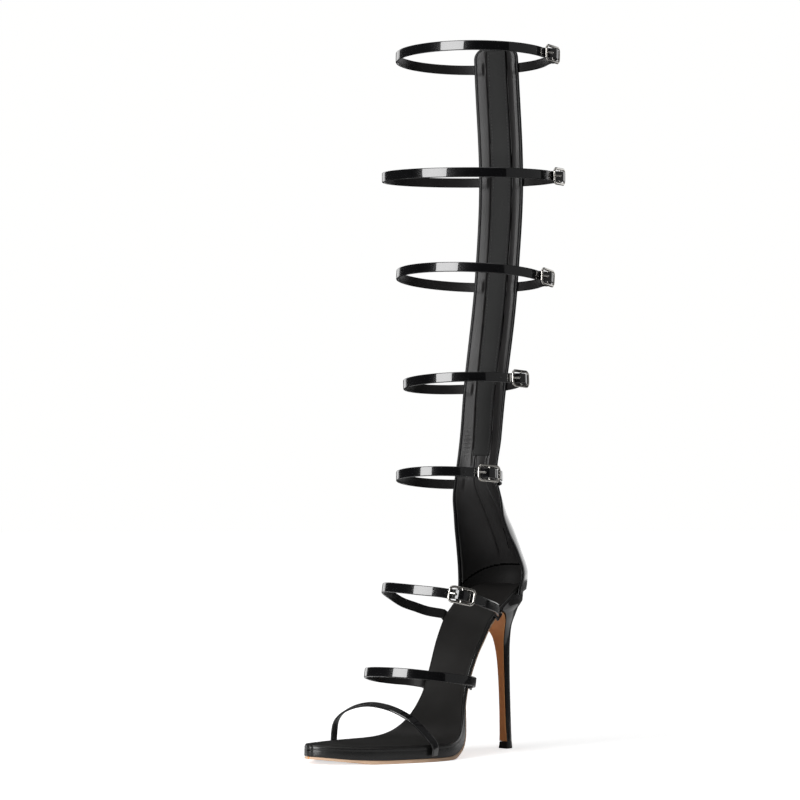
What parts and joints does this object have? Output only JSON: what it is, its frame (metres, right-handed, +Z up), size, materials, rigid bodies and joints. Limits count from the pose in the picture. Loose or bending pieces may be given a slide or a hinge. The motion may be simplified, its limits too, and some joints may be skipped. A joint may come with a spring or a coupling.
{
  "type": "strappy knee-high sandal",
  "caption": "Left knee-high strappy sandal with a slim high heel, a thin platform, buckled leg straps on a zipped back strip and straps over the foot.",
  "frame": {"origin": "on the floor, at the middle of the heel tip's underside", "axes": "+Z up, -Y to the toe, +X to the outer side of this left foot"},
  "size_m": [0.1333, 0.218, 0.534],
  "materials": {
    "patent": "black patent leather, mirror gloss",
    "nappa": "black smooth lining leather, satin",
    "sole_leather": "tan sole leather, satin, with a pale cut edge",
    "tip_rubber": "black, matte",
    "pale_metal": "polished pale silver",
    "black_metal": "black, semi-gloss"
  },
  "bodies": {
    "sandal": {"upper": "patent", "footbed": "nappa", "platform": "patent", "outsole": "sole_leather", "heel": "patent", "heel_tip": "tip_rubber", "strap_top": "patent", "buckle_strap_top": "patent", "buckle_top": "pale_metal", "strap_calf": "patent", "buckle_strap_calf": "patent", "buckle_calf": "pale_metal", "strap_shin": "patent", "buckle_strap_shin": "patent", "buckle_shin": "pale_metal", "strap_lower": "patent", "buckle_strap_lower": "patent", "buckle_lower": "pale_metal", "strap_ankle": "patent", "buckle_strap_ankle": "patent", "buckle_ankle": "pale_metal", "strap_instep": "patent", "buckle_strap_instep": "patent", "buckle_instep": "pale_metal", "strap_midfoot": "patent", "strap_toe": "patent", "zip_chain": "black_metal", "zip_slider": "black_metal"},
    "zip_pull": {"zip_pull": "black_metal"}
  },
  "joints": [
    {"name": "zip_pull_hinge", "type": "hinge", "parent": "sandal", "child": "zip_pull", "pos_m": [-0.00283, -0.00094, 0.50349], "axis": [0.9571, 0.2893, 0.0129], "range_deg": [0, 150]}
  ]
}
